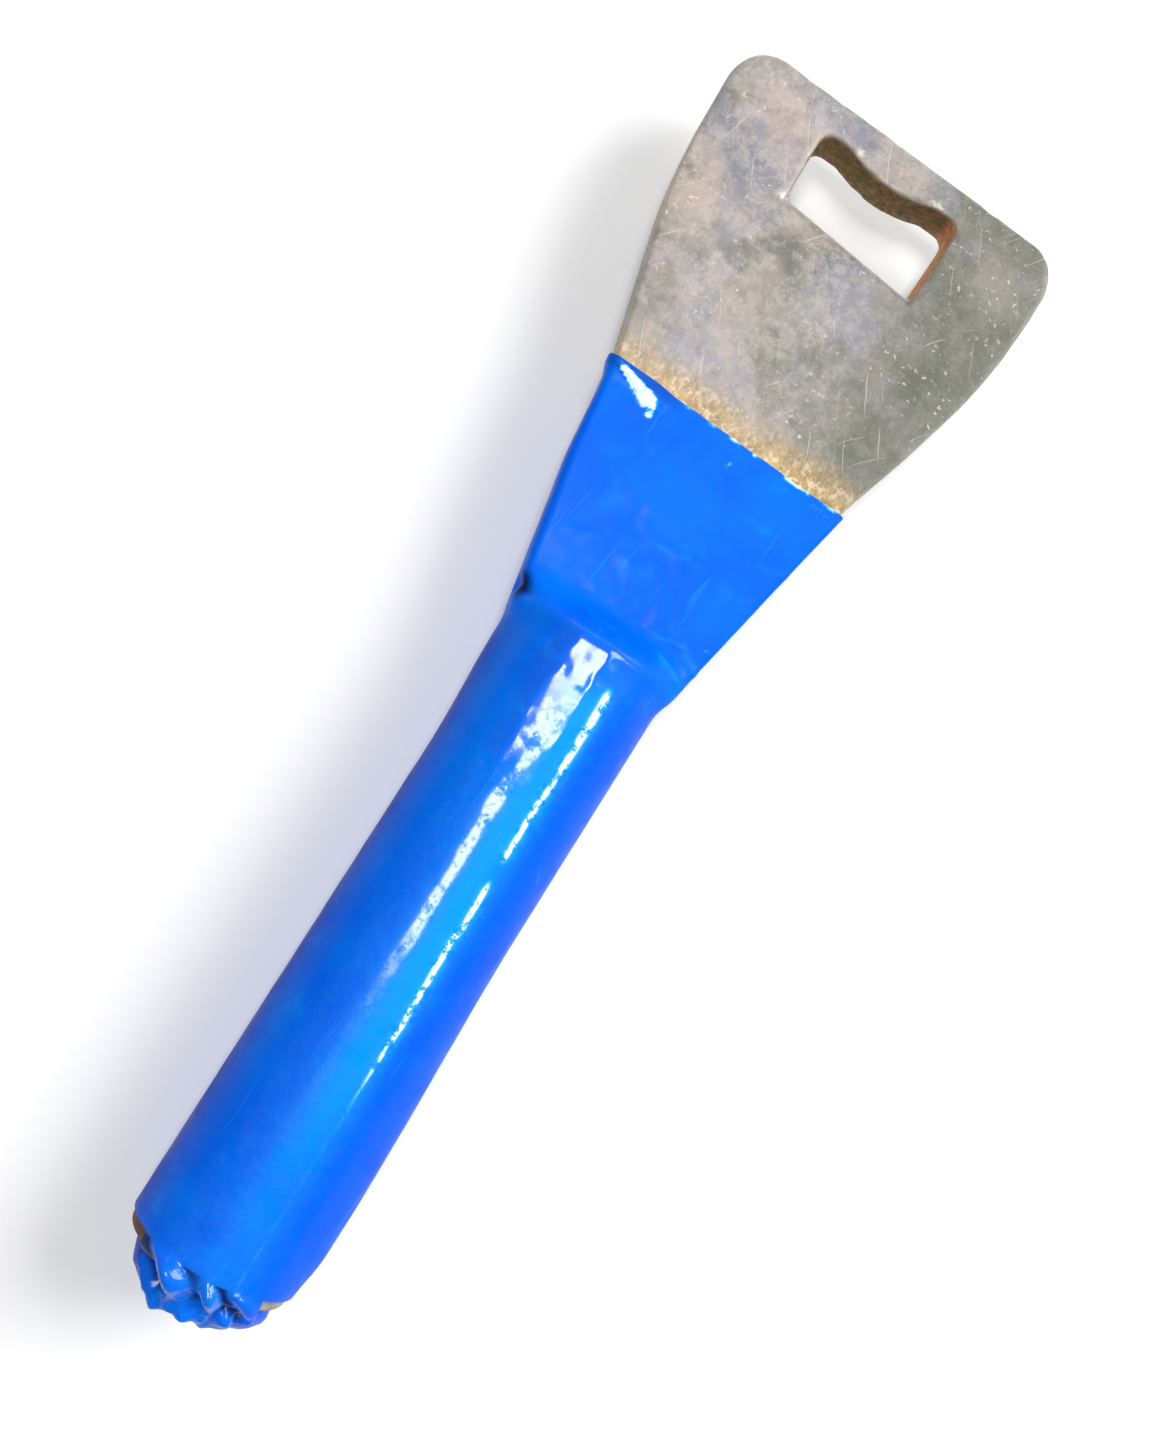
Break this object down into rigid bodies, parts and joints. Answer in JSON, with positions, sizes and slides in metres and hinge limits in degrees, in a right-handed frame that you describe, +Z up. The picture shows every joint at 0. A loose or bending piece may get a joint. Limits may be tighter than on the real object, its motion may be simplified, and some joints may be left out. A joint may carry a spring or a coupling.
{
  "type": "hive tool",
  "caption": "Rigid hand tool with a fan-shaped slotted steel head on a round tube handle, covered by a glossy plastic sleeve whose end is gathered into the open tube.",
  "frame": {"origin": "middle of the round grip, on the tube's axis", "axes": "+Y from the handle to the tip of the head, +Z up out of the head's flat face, +X across the head"},
  "size_m": [0.0596, 0.2044, 0.0264],
  "materials": {
    "head_steel": "worn, cloudy grey steel with fine scratches, brown in the slot",
    "tube_steel": "dull steel tube with rust at its cut end",
    "weld_metal": "rough weld bead",
    "sleeve_film": "bright blue glossy shrunk film"
  },
  "bodies": {
    "root": {"head_plate": "head_steel", "handle_tube": "tube_steel", "weld_front": "weld_metal", "weld_back": "weld_metal", "grip_sleeve": "sleeve_film", "sleeve_end": "sleeve_film"}
  },
  "joints": []
}
